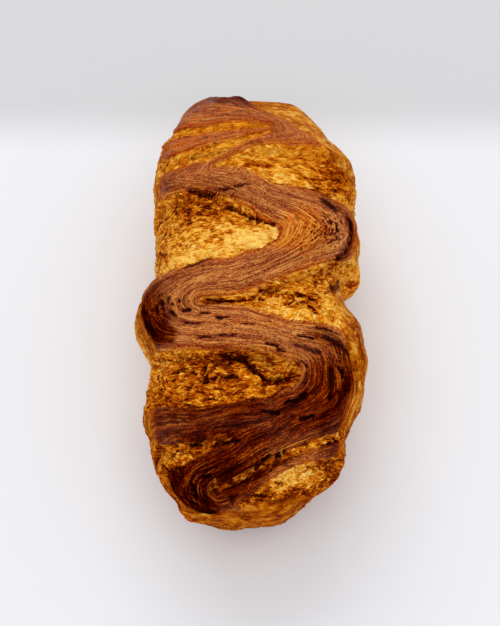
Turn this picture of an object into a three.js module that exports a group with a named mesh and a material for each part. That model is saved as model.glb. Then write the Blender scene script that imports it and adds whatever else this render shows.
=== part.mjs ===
// A tin loaf of laminated brioche, as one solid, in millimetres.
// +X is right, +Y runs along the loaf to its far end and +Z is up.
// The origin is under the middle of the loaf, at the height of its flat base.
//
// The baker laid one long strand of laminated dough in the tin from side to side, cut edge up.
// The cut edge baked dark and is the raised strand that winds along the top. Between its turns
// the dough's smooth skin shows as pale tongues, which start at the left and right walls in turn.
import * as THREE from "three";
import { ImprovedNoise } from "three/addons/math/ImprovedNoise.js";

// The loaf's body.
const LENGTH = 226;
const HEIGHT = 92;
const SHOULDER_HEIGHT = 50; // where the loaf is widest
const TIN_HALF_WIDTH = 45; // between the bulges
const BASE_SHARE = 0.78; // width of the base as a share of the width at the shoulder
const BASE_SINK = 0.6; // the tin's bottom flattens this much off the lowest round
const CROWN_SQUARENESS = 2.45; // superellipse exponents: 2 is round, more is squarer
const BASE_SQUARENESS = 5;
const END_SQUARENESS = 4.2;
const END_LEAN = 0.1; // share of the length by which the base is shorter than the shoulder
const END_DROP = 22; // how far the crown line falls towards the ends
const END_DROP_POWER = 3.5;
const BASE_END_POWER = 0.22; // low, so that the base runs out flat almost to its ends
const RIM_HEIGHT = 46; // of the tin, whose wall held the dough in
const RIM_STEP = 2.2; // how far the dough that rose above the rim hangs over
const RIM_SOFTNESS = 9;

// Where the strand turns at a wall it bulges over the tin's rim, and in between it leaves a notch.
// Each bulge has its place along the loaf, how far it stands out, and its reach both ways.
const BULGES = {
  left: [
    { at: -68, out: 4.5, reach: 22 },
    { at: -17, out: 10, reach: 17 },
    { at: 60, out: 5, reach: 36 },
  ],
  right: [
    { at: -43, out: 10, reach: 22 },
    { at: 20, out: 8.5, reach: 15 },
    { at: 60, out: 9, reach: 24 },
    { at: 118, out: -16, reach: 24 }, // the pinched far corner
    { at: -120, out: -22, reach: 22 }, // the pinched near corner
  ],
};
const BULGE_AT_BASE = 0.3; // share of a bulge that is left at the base
const SIDE_BLEND = 0.5; // the left outline passes into the right over this share of the half width

// The top, unrolled flat: u runs round the loaf from the crown line to the right, and v along it.
const MEAN_HALF_WIDTH = 53; // of the section that u is measured round
const MEAN_PROFILE = 52; // from the axis to the crown, for the profile that v is measured along
const STRAND_EDGE = 55.5; // u of the line where the strand ends at the wall
const STRAND_HALF_LENGTH = 119.5;
const STRAND_CORNER = 20;

// Pale tongues of dough: each runs in from its wall by stations of u, v and half width.
const TONGUES = {
  left: [
    [[-62, 82, 4], [-28, 79.5, 3.2], [13, 80.5, 0.8]],
    [[-62, 68, 6], [-38, 60, 4.5], [-24, 60.5, 3.4], [6, 74.5, 0.8]],
    [[-62, 18.5, 23.5], [-20, 14, 15.5], [2, 11.5, 10]],
    [[-62, -53, 13.5], [-24, -60, 12], [15, -57.7, 6.5]],
    [[-62, -91, 6.5], [-38, -89.6, 3.3], [-12, -86, 0.5]],
  ],
  right: [
    [[62, 52, 17], [16, 54, 13], [-8, 55, 4.5], [-22, 53.5, 0.9]],
    [[62, -12, 22], [18, -22.5, 10.5], [-4, -23.5, 2.6], [-22, -22.7, 0.7]],
    [[64, -75, 2.2], [30, -88.6, 1.6], [-24, -106, 0.9]],
    [[68, -93, 8.5], [32, -102, 6.8], [-12, -113.5, 0.7]],
  ],
};
// Where the skin runs on to the end walls and the far right corner it has no sunken edge.
const SMOOTH_SKIN = {
  left: [[[-66, -128, 14], [-40, -136, 17], [-20, -135, 18]]],
  right: [
    [[0, -130, 16], [40, -128, 18], [66, -118, 22]],
    [[64, 76, 27], [54, 104, 27], [20, 132, 27]],
  ],
};

// Relief, measured along the surface's normal.
const STRAND_RISE = 1.6; // the strand's edges above the skin
const STRAND_CROWN = 1.4; // how much its middle stands above its edges
const STRAND_EDGE_WIDTH = 5;
const TONGUE_SINK = 4.2; // the tongue's far edge lies this deep under the turn behind it
const SINK_START = -0.35; // across the tongue, from -1 at its near edge to 1 at its far edge
const SINK_END = 0.95;
const TONGUE_FULL_SINK = 9; // half width of a tongue that sinks to the full depth
const TONGUE_NO_SINK = 2; // half width of one too narrow to sink
const TONGUE_EDGE_WIDTH = 4.5;
const LAYER_GROOVES = 4; // broad grooves across the strand, between groups of layers
const LAYER_GROOVE_DEPTH = 0.7;
const LAYER_GROOVE_RUN = 40; // how far a groove runs on before it changes
const LUMP_SIZE = 13;
const LUMP_HEIGHT = 1.3;
const WRINKLE_SIZE = 7;
const WRINKLE_HEIGHT = 0.7;

// The mesh is finest on the top, where the relief is.
const FACES_AROUND = 62;
const FACES_ALONG = 94;
const TOP_CROWDING = 0.5; // first and third harmonic of the spacing round the section
const SHOULDER_CROWDING = 0.1;
const MIDDLE_CROWDING = 0.22; // spacing along the loaf, denser away from the poles
const NORMAL_STEP = 1e-3; // share of the way round or along

// The relief fades out towards the poles and the base.
const POLE_FADE = 12;
const BASE_FADE_START = 2;
const BASE_FADE_END = 14;

const ROUNDING = 1e-12;
const ARC_STEPS = 2000; // in measuring an arc's length, a multiple of four

const half = LENGTH / 2;
const noise = new ImprovedNoise();

// The point of a unit superellipse that its centre sees under an angle.
function superellipse(angle, squareness) {
  const across = Math.cos(angle);
  const up = Math.sin(angle);
  const size = Math.abs(across) ** squareness + Math.abs(up) ** squareness;
  const reach = size ** (-1 / squareness);
  return { across: across * reach, up: up * reach };
}

// The unit section, from the left shoulder over the crown, the right shoulder and the base.
function unitSection(turn) {
  const angle = turn * 2 * Math.PI;
  const squareness = Math.sin(angle) >= 0 ? CROWN_SQUARENESS : BASE_SQUARENESS;
  const point = superellipse(angle, squareness);
  return { across: -point.across, up: point.up };
}

// The unit profile from the near pole to the far one: its reach from the axis and its place along.
// At the poles the cosine isn't quite nothing, so it is taken down to an exact point there.
function unitProfile(turn) {
  const point = superellipse((turn - 0.5) * Math.PI, END_SQUARENESS);
  return { reach: Math.max(0, point.across - ROUNDING), along: point.up };
}

function baseShare(up) {
  return up >= 0 ? 1 : BASE_SHARE + (1 - BASE_SHARE) * (1 + up);
}

class MeanSection extends THREE.Curve {
  getPoint(turn, target = new THREE.Vector3()) {
    const { across, up } = unitSection(turn);
    const rise = up >= 0 ? HEIGHT - SHOULDER_HEIGHT : SHOULDER_HEIGHT;
    return target.set(across * MEAN_HALF_WIDTH * baseShare(up), 0, up * rise);
  }
}

class MeanProfile extends THREE.Curve {
  getPoint(turn, target = new THREE.Vector3()) {
    const { reach, along } = unitProfile(turn);
    return target.set(reach * MEAN_PROFILE, along * half, 0);
  }
}

const section = new MeanSection();
const profile = new MeanProfile();
section.arcLengthDivisions = ARC_STEPS;
profile.arcLengthDivisions = ARC_STEPS;
const girth = section.getLength();
const profileLength = profile.getLength();
const crownArc = section.getLengths()[ARC_STEPS / 4];

// How far the wall stands back under the tin's rim.
function underRim(height) {
  return RIM_STEP * (1 - THREE.MathUtils.smoothstep(height, RIM_HEIGHT - RIM_SOFTNESS, RIM_HEIGHT));
}

// Half width at a place along the loaf and a height, on the left (-1) or the right (1).
function halfWidth(along, height, side) {
  const bulges = side < 0 ? BULGES.left : BULGES.right;
  const fade = THREE.MathUtils.smoothstep(height, 0, SHOULDER_HEIGHT);
  const share = BULGE_AT_BASE + (1 - BULGE_AT_BASE) * fade;
  return bulges.reduce(
    (width, { at, out, reach }) => width + share * out * Math.exp(-(((along - at) / reach) ** 2)),
    TIN_HALF_WIDTH - underRim(height),
  );
}

function crownHeight(along) {
  return HEIGHT - END_DROP * Math.abs(along / half) ** END_DROP_POWER;
}

// The smooth body: a point from its arc shares round the section and along the profile.
function body(around, lengthwise) {
  const ring = unitSection(section.getUtoTmapping(around));
  const { reach, along } = unitProfile(profile.getUtoTmapping(lengthwise));
  const y = along * half;
  const above = ring.up >= 0;
  const drop = SHOULDER_HEIGHT * reach ** BASE_END_POWER;
  const rise = (crownHeight(y) - SHOULDER_HEIGHT) * reach;
  const z = SHOULDER_HEIGHT + ring.up * (above ? rise : drop);
  const left = halfWidth(y, z, -1);
  const right = halfWidth(y, z, 1);
  const blend = THREE.MathUtils.smoothstep(ring.across, -SIDE_BLEND, SIDE_BLEND);
  const width = THREE.MathUtils.lerp(left, right, blend);
  const lean = 1 - END_LEAN * Math.max(0, 1 - z / SHOULDER_HEIGHT) - underRim(z) / half;
  return new THREE.Vector3(ring.across * width * baseShare(ring.up) * reach, y * lean, z);
}

// The unrolled place of arc shares round the section and along the profile.
function unrolled(around, lengthwise) {
  let u = around * girth - crownArc;
  if (u > girth / 2) u -= girth;
  return { u, v: (lengthwise - 0.5) * profileLength };
}

// How far a point lies outside a tongue, and where it lies across it: -1 near edge, 1 far edge.
function tongueAt(u, v, stations) {
  let nearest = { gap: Infinity, across: 0, width: 0 };
  for (let i = 1; i < stations.length; i++) {
    const [u0, v0, r0] = stations[i - 1];
    const [u1, v1, r1] = stations[i];
    const du = u1 - u0;
    const dv = v1 - v0;
    const t = THREE.MathUtils.clamp(((u - u0) * du + (v - v0) * dv) / (du * du + dv * dv), 0, 1);
    const width = THREE.MathUtils.lerp(r0, r1, t);
    const offU = u - u0 - t * du;
    const offV = v - v0 - t * dv;
    const gap = Math.hypot(offU, offV) - width;
    if (gap < nearest.gap) nearest = { gap, across: offV / width, width };
  }
  return nearest;
}

function nearestOf(u, v, list) {
  return list
    .map((stations) => tongueAt(u, v, stations))
    .reduce((best, found) => (found.gap < best.gap ? found : best));
}

// How far in from the strand's outer line a place lies, measured from the left or the right.
function fromEdge(u, v, side) {
  const past = THREE.MathUtils.clamp(
    Math.abs(v) - (STRAND_HALF_LENGTH - STRAND_CORNER), 0, STRAND_CORNER,
  );
  const corner = STRAND_CORNER - Math.sqrt(STRAND_CORNER ** 2 - past ** 2);
  return STRAND_EDGE - corner - side * u;
}

// The height of the crust above the smooth body.
function relief(u, v, point) {
  const { smoothstep } = THREE.MathUtils;
  const leftTongue = nearestOf(u, v, TONGUES.left);
  const rightTongue = nearestOf(u, v, TONGUES.right);
  const tongue = leftTongue.gap < rightTongue.gap ? leftTongue : rightTongue;
  const leftSkin = nearestOf(u, v, SMOOTH_SKIN.left).gap;
  const rightSkin = nearestOf(u, v, SMOOTH_SKIN.right).gap;
  const leftGap = Math.max(0, Math.min(leftTongue.gap, leftSkin, fromEdge(u, v, -1)));
  const rightGap = Math.max(0, Math.min(rightTongue.gap, rightSkin, fromEdge(u, v, 1)));
  const share = leftGap / Math.max(leftGap + rightGap, ROUNDING); // 0 at the left edge, 1 at the right
  const onStrand = smoothstep(Math.min(leftGap, rightGap), 0, STRAND_EDGE_WIDTH);
  const groove = noise.noise(
    share * LAYER_GROOVES, point.y / LAYER_GROOVE_RUN, point.x / LAYER_GROOVE_RUN,
  );
  const strand =
    STRAND_RISE + STRAND_CROWN * Math.sin(Math.PI * share) + groove * LAYER_GROOVE_DEPTH;
  const inTongue = smoothstep(-tongue.gap, 0, TONGUE_EDGE_WIDTH);
  const sunken =
    smoothstep(tongue.across, SINK_START, SINK_END) *
    smoothstep(tongue.width, TONGUE_NO_SINK, TONGUE_FULL_SINK);
  const lumps = noise.noise(...point.clone().divideScalar(LUMP_SIZE));
  const wrinkles = noise.noise(...point.clone().divideScalar(WRINKLE_SIZE));
  return (
    onStrand * strand -
    inTongue * sunken * TONGUE_SINK +
    lumps * LUMP_HEIGHT +
    (1 - onStrand) * wrinkles * WRINKLE_HEIGHT
  );
}

// Moves a share so that the faces crowd round a centre, where they are smaller by the strength.
function crowd(share, centre, strength) {
  return share - (strength / (2 * Math.PI)) * Math.sin(2 * Math.PI * (share - centre));
}

// The same round the section, with a third harmonic that widens the fine stretch to the shoulders.
function crowdRound(share) {
  const crown = crownArc / girth;
  const widened = (SHOULDER_CROWDING / (6 * Math.PI)) * Math.sin(6 * Math.PI * (share - crown));
  const around = crowd(share, crown, TOP_CROWDING) + widened;
  return around - Math.floor(around);
}

// The way out of the body at a place, from the steps to its neighbours round and along.
function outward(around, lengthwise) {
  const wrap = (share) => share - Math.floor(share);
  const round = body(wrap(around + NORMAL_STEP), lengthwise);
  round.sub(body(wrap(around - NORMAL_STEP), lengthwise));
  const along = body(around, Math.min(1, lengthwise + NORMAL_STEP));
  along.sub(body(around, Math.max(0, lengthwise - NORMAL_STEP)));
  return round.cross(along).normalize();
}

// A point of the crust: the body with its relief, which fades out at the poles and the flat base.
function crust(around, lengthwise) {
  const point = body(around, lengthwise);
  const fromPole = Math.min(lengthwise, 1 - lengthwise) * profileLength;
  const { u, v } = unrolled(around, lengthwise);
  const fade =
    THREE.MathUtils.smoothstep(fromPole, 0, POLE_FADE) *
    THREE.MathUtils.smoothstep(point.z, BASE_FADE_START, BASE_FADE_END);
  if (fade > 0) point.addScaledVector(outward(around, lengthwise), fade * relief(u, v, point));
  point.z = Math.max(0, point.z - BASE_SINK);
  return point;
}

// Splits each four-sided face along the diagonal that bends less, so that ridges stay clean.
function splitAlongRidges(geometry) {
  const { position } = geometry.attributes;
  const index = geometry.index.array;
  const corner = (i) => new THREE.Vector3().fromBufferAttribute(position, i);
  const facing = (three) => new THREE.Triangle(...three.map(corner)).getNormal(new THREE.Vector3());
  const bend = (one, other) => facing(one).angleTo(facing(other));
  const poleCorners = 3 * FACES_AROUND;
  for (let i = poleCorners; i < index.length - poleCorners; i += 6) {
    const [a, b, d, , c] = index.slice(i, i + 6);
    const asMade = bend([a, b, d], [b, c, d]);
    const turned = bend([a, b, c], [a, c, d]);
    if (turned < asMade) index.set([a, b, c, a, c, d], i);
  }
}

// One closed skin: a sphere with its poles at the loaf's ends, each vertex moved onto the crust.
function makeLoaf() {
  const geometry = new THREE.SphereGeometry(1, FACES_AROUND, FACES_ALONG);
  const { position, uv } = geometry.attributes;
  for (let i = 0; i < position.count; i++) {
    const lengthwise = crowd(uv.getY(i), 0.5, MIDDLE_CROWDING);
    const point = crust(crowdRound(uv.getX(i)), lengthwise);
    position.setXYZ(i, point.x, point.y, point.z);
  }
  splitAlongRidges(geometry);
  geometry.computeBoundingBox();
  const centre = geometry.boundingBox.getCenter(new THREE.Vector3());
  geometry.translate(-centre.x, -centre.y, 0);
  geometry.computeVertexNormals();
  const bakedCrust = new THREE.MeshStandardMaterial({ color: 0xa5602a, roughness: 0.55, metalness: 0 });
  const mesh = new THREE.Mesh(geometry, bakedCrust);
  mesh.name = "loaf";
  return mesh;
}

const brioche = new THREE.Group();
brioche.add(makeLoaf());

export default brioche;
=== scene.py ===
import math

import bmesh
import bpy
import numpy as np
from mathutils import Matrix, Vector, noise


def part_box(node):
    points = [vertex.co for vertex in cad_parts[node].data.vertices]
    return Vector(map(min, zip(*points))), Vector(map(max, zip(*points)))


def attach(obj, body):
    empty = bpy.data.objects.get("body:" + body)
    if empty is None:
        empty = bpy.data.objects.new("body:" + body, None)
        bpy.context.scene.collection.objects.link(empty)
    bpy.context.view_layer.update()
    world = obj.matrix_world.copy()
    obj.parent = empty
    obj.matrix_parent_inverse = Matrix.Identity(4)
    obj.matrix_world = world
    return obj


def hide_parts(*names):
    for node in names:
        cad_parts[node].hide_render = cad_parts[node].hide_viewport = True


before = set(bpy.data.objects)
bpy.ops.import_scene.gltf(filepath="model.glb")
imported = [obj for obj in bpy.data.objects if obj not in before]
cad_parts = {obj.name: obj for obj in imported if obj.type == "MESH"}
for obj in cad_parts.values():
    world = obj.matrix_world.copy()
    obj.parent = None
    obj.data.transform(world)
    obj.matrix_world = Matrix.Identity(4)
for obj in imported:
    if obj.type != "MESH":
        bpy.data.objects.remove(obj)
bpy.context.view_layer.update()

# %% [markdown]
# # A laminated brioche tin loaf
# A baker rolls butter into brioche dough, folds it into layers, cuts it into one long strand and
# lays the strand in a tin from wall to wall, cut edge up. In the oven the cut edge browns hard and
# keeps its layers, and the smooth skin of the dough shows between the turns as pale tongues.
# The loaf is one piece. Its solid is the frame, and this script makes the crust that replaces it:
# the same form on a finer mesh, with the layers, crumb, cracks and colours that an oven gives.

MM = 0.001
low, high = (np.array(corner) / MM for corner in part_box("loaf"))
print("the loaf's solid, mm:", np.round(low, 1), "to", np.round(high, 1))

# %% [markdown]
# ## The camera
# The photograph looks down on the loaf along its length. A long lens keeps the far end almost as
# wide as the near end. The picture's axis lies a little above its middle, which a small shift gives.

# %% The camera
IMAGE_HEIGHT = 626  # pixels of the photograph's longer side
PIXELS_PER_MM = 2.033  # at the camera's aim
CAMERA_DISTANCE = 600
CAMERA_ELEVATION = math.radians(62)
AIM = Vector((0, 0, 42))
AXIS_ABOVE_MIDDLE = 9  # pixels
SENSOR = 36

camera_data = bpy.data.cameras.new("camera")
camera_data.sensor_width = SENSOR
camera_data.lens = SENSOR * PIXELS_PER_MM * CAMERA_DISTANCE / IMAGE_HEIGHT
camera_data.shift_y = -AXIS_ABOVE_MIDDLE / IMAGE_HEIGHT
camera = bpy.data.objects.new("camera", camera_data)
bpy.context.scene.collection.objects.link(camera)
back = Vector((0, -math.cos(CAMERA_ELEVATION), math.sin(CAMERA_ELEVATION)))
camera.location = (AIM + back * CAMERA_DISTANCE) * MM
camera.rotation_euler = back.to_track_quat("Z", "Y").to_euler()
bpy.context.scene.camera = camera
print("lens, mm:", round(camera_data.lens, 1))

# %% [markdown]
# ## The body
# The loaf's body is a long superellipsoid: squarer than an ellipsoid, as a tin makes it, with a
# round crown, a flatter base, and bulges where the strand turns over the tin's rim. The sizes are
# the solid's own, in millimetres. Working the form out again, instead of copying the solid's faces,
# lets the crust have as many faces as its layers need.

# %% Sizes of the body
LENGTH = 226
HEIGHT = 92
SHOULDER_HEIGHT = 50  # where the section is widest
TIN_HALF_WIDTH = 45
BASE_SHARE = 0.78  # the foot's width, of the shoulder's
BASE_SINK = 0.6  # how much of the foot is cut off flat
CROWN_SQUARENESS = 2.45  # 2 is round, and more is squarer
BASE_SQUARENESS = 5
END_SQUARENESS = 4.2
END_LEAN = 0.1  # how far the end walls lean in at the foot, of the half length
END_DROP = 22  # how far the crown falls at the ends
END_DROP_POWER = 3.5
BASE_END_POWER = 0.22
RIM_HEIGHT = 46
RIM_STEP = 2.2  # how far the loaf stands out above the tin's rim
RIM_SOFTNESS = 9
LEFT_BULGES = ((-68, 4.5, 22), (-17, 10, 17), (60, 5, 36))  # place, height and reach
RIGHT_BULGES = ((-43, 10, 22), (20, 8.5, 15), (60, 9, 24), (118, -16, 24), (-120, -22, 22))
BULGE_AT_BASE = 0.3
SIDE_BLEND = 0.5
MEAN_HALF_WIDTH = 53  # arcs are measured on a section and a profile of these sizes
MEAN_PROFILE = 52
HALF = LENGTH / 2

# %% The unit curves
def smoothstep(value, start, end):
    share = np.clip((value - start) / (end - start), 0, 1)
    return share * share * (3 - 2 * share)


def superellipse(angle, squareness):
    across, up = np.cos(angle), np.sin(angle)
    reach = (np.abs(across) ** squareness + np.abs(up) ** squareness) ** (-1 / squareness)
    return across * reach, up * reach


def unit_section(turn):
    angle = turn * 2 * np.pi
    squareness = np.where(np.sin(angle) >= 0, CROWN_SQUARENESS, BASE_SQUARENESS)
    across, up = superellipse(angle, squareness)
    return -across, up


def unit_profile(turn):
    reach, along = superellipse((turn - 0.5) * np.pi, END_SQUARENESS)
    return np.maximum(reach, 0), along


def base_share(up):
    return np.where(up >= 0, 1, BASE_SHARE + (1 - BASE_SHARE) * (1 + up))


# %% [markdown]
# ## Unrolling
# Everything that the baker did to the top is easier to place on a flat plan. So the body is
# unrolled: u runs round the section from the crown to the right, and v runs along the loaf. Both
# are lengths of arc on a mean section and profile, found by adding up many short steps.

# %% Arc lengths
ARC_STEPS = 4000


def arc_table(x, z):
    steps = np.hypot(np.diff(x), np.diff(z))
    return np.concatenate([[0], np.cumsum(steps)])


turns = np.linspace(0, 1, ARC_STEPS + 1)
mean_x, mean_up = unit_section(turns)
mean_rise = np.where(mean_up >= 0, HEIGHT - SHOULDER_HEIGHT, SHOULDER_HEIGHT)
section_arc = arc_table(mean_x * MEAN_HALF_WIDTH * base_share(mean_up), mean_up * mean_rise)
mean_reach, mean_along = unit_profile(turns)
profile_arc = arc_table(mean_reach * MEAN_PROFILE, mean_along * HALF)
GIRTH, PROFILE_LENGTH = section_arc[-1], profile_arc[-1]
CROWN_ARC = section_arc[ARC_STEPS // 4]
print("girth, mm:", round(GIRTH, 1), "profile, mm:", round(PROFILE_LENGTH, 1))

# %% The body at arc shares
def under_rim(height):
    return RIM_STEP * (1 - smoothstep(height, RIM_HEIGHT - RIM_SOFTNESS, RIM_HEIGHT))


def half_width(along, height, bulges):
    share = BULGE_AT_BASE + (1 - BULGE_AT_BASE) * smoothstep(height, 0, SHOULDER_HEIGHT)
    width = TIN_HALF_WIDTH - under_rim(height)
    for at, out, reach in bulges:
        width = width + share * out * np.exp(-(((along - at) / reach) ** 2))
    return width


def body(around, lengthwise):
    across, up = unit_section(np.interp(around * GIRTH, section_arc, turns))
    reach, along = unit_profile(np.interp(lengthwise * PROFILE_LENGTH, profile_arc, turns))
    y = along * HALF
    crown = HEIGHT - END_DROP * np.abs(along) ** END_DROP_POWER
    rise = np.where(up >= 0, (crown - SHOULDER_HEIGHT) * reach, SHOULDER_HEIGHT * reach**BASE_END_POWER)
    z = SHOULDER_HEIGHT + up * rise
    blend = smoothstep(across, -SIDE_BLEND, SIDE_BLEND)
    width = half_width(y, z, LEFT_BULGES) * (1 - blend) + half_width(y, z, RIGHT_BULGES) * blend
    lean = 1 - END_LEAN * np.maximum(0, 1 - z / SHOULDER_HEIGHT) - under_rim(z) / HALF
    return np.stack([across * width * base_share(up) * reach, y * lean, z], -1)


# %% [markdown]
# ## The tongues and the strand on the plan
# Each pale tongue runs in from its wall as a chain of round-ended wedges. The strand is what lies
# between the tongues from the left and those from the right. A place's share of the way from the
# left tongues to the right ones is the same all along one layer of dough, so lines of equal share
# are the layers, and they turn round the tongues' tips as the real ones do.

# %% The plan
STRAND_EDGE = 55.5
STRAND_HALF_LENGTH = 119.5
STRAND_CORNER = 20
LEFT_TONGUES = (  # stations of u, v and half width
    ((-62, 82, 4), (-41, 78.7, 2.9), (-28, 75.6, 2.8), (-16, 76.2, 3.2), (-4, 77.2, 3), (9, 77, 0.8)),
    ((-62, 63, 5), (-42, 58.2, 4.2), (-23, 58.7, 4.5), (-15, 62.1, 3.2), (-4, 66.4, 2), (9, 72.4, 0.6)),
    ((-62, 18.5, 23.5), (-31, 16.9, 20.3), (-13, 14.1, 15.6), (0, 11.3, 9.3), (7.5, 11, 5)),
    ((-62, -52.3, 12.8), (-24, -60, 12.6), (5, -58.5, 9.9), (16, -57.7, 5.5)),
)
SPLIT_TONGUES = (((-62, -89, 7), (-44, -89.8, 5), (-30, -88.8, 2.8), (-12, -86, 0.5)),)
SPLIT_SHARE = 0.42  # the share of the layers along which the last turn split away
SPLIT_TOP = -68  # the strand's upper part runs down the wall between these two
SPLIT_FOOT = -88
RIGHT_TONGUES = (
    ((62, 52, 17), (30, 51, 13.7), (14, 51.4, 12), (5, 53.1, 9.4), (-6, 53.1, 4.2), (-18, 50.9, 0.6)),
    ((62, -12, 22), (18, -22.5, 10.5), (-4, -23.5, 2.6), (-22, -22.7, 0.7)),
    ((64, -75, 2.2), (30, -88.6, 1.6), (-24, -106, 0.9)),
    ((68, -93, 8.5), (32, -102, 6.8), (-12, -113.5, 0.7)),
)
LEFT_SKIN = (((-66, -128, 14), (-40, -136, 17), (-20, -135, 18)),)
RIGHT_SKIN = (
    ((0, -130, 16), (40, -127, 18), (66, -124, 19)),
    ((64, -24, 20), (66, -38, 22), (67, -46, 16.5), (68, -51, 8)),
    ((60, 106, 46), (32, 118, 37), (12, 134, 31)),
)
CORNER_ROUNDING = 5  # layers turn round a meeting of tongue and wall with about this radius
LAYERS = 34  # across the strand, as the cut edge shows
SIDE_LAYERS = 0.8  # to each mm down the loaf's side
FARTHEST = 1e9  # more than any distance on the plan
LEAST_GAP = 1e-6


def from_segment(u, v, start, end):
    du, dv = end[0] - start[0], end[1] - start[1]
    share = np.clip(((u - start[0]) * du + (v - start[1]) * dv) / (du * du + dv * dv), 0, 1)
    return share, u - start[0] - share * du, v - start[1] - share * dv


def tongue_at(u, v, stations):
    nearest = [np.full(u.shape, FARTHEST)] + [np.zeros(u.shape)] * 4
    for (*start, half_start), (*end, half_end) in zip(stations[:-1], stations[1:]):
        share, off_u, off_v = from_segment(u, v, start, end)
        half = half_start + (half_end - half_start) * share
        gap = np.hypot(off_u, off_v) - half
        way_u, way_v = (np.array(end) - start) / math.dist(start, end)
        nearer = gap < nearest[0]
        found = gap, off_v / half, half, way_u, way_v
        nearest = [np.where(nearer, new, old) for new, old in zip(found, nearest)]
    return nearest


def nearest_of(u, v, tongues):
    found = [tongue_at(u, v, stations) for stations in tongues]
    gaps = np.stack([tongue[0] for tongue in found])
    pick = gaps.argmin(0)[None]
    return [np.take_along_axis(np.stack(values), pick, 0)[0] for values in zip(*found)]


def smooth_least(one, other):
    closeness = np.clip(CORNER_ROUNDING - np.abs(one - other), 0, None) / CORNER_ROUNDING
    return np.minimum(one, other) - closeness**2 * CORNER_ROUNDING / 4


def from_edge(u, v, side):
    past = np.clip(np.abs(v) - (STRAND_HALF_LENGTH - STRAND_CORNER), 0, STRAND_CORNER)
    corner = STRAND_CORNER - np.sqrt(STRAND_CORNER**2 - past**2)
    return STRAND_EDGE - corner - side * u


def plan(u, v):
    from_left, from_right = nearest_of(u, v, LEFT_TONGUES), nearest_of(u, v, RIGHT_TONGUES)
    from_split = nearest_of(u, v, SPLIT_TONGUES)
    both = np.where(from_left[0] < from_right[0], from_left, from_right)
    tongue, across, width, way_u, way_v = np.where(from_split[0] < both[0], from_split, both)
    left_edge, right_edge = from_edge(u, v, -1), from_edge(u, v, 1)
    edge = np.minimum(left_edge, right_edge)
    left_skin, right_skin = nearest_of(u, v, LEFT_SKIN)[0], nearest_of(u, v, RIGHT_SKIN)[0]
    upper_wall = np.hypot(np.maximum(left_edge, 0), np.maximum(0, SPLIT_TOP - v))
    lower_wall = np.hypot(np.maximum(left_edge, 0), np.maximum(0, v - SPLIT_FOOT))
    left = smooth_least(from_left[0], upper_wall)
    split = smooth_least(from_split[0], smooth_least(left_skin, lower_wall))
    right = smooth_least(from_right[0], smooth_least(right_skin, right_edge))
    pull = [1 / np.maximum(gap, LEAST_GAP) for gap in (left, split, right)]
    share = (SPLIT_SHARE * pull[1] + pull[2]) / sum(pull)
    return {
        "u": u, "v": v, "share": share,
        "layer": share * LAYERS + np.sign(u) * np.maximum(0, -edge) * SIDE_LAYERS,
        "inside": np.minimum(np.minimum(left, edge), np.minimum(split, right)),  # how far in the strand
        "tongue": tongue,  # below zero inside a tongue
        "across": across, "width": width, "way": (way_u, way_v), "edge": edge,
        "skin": np.minimum(left_skin, right_skin),
    }
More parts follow.
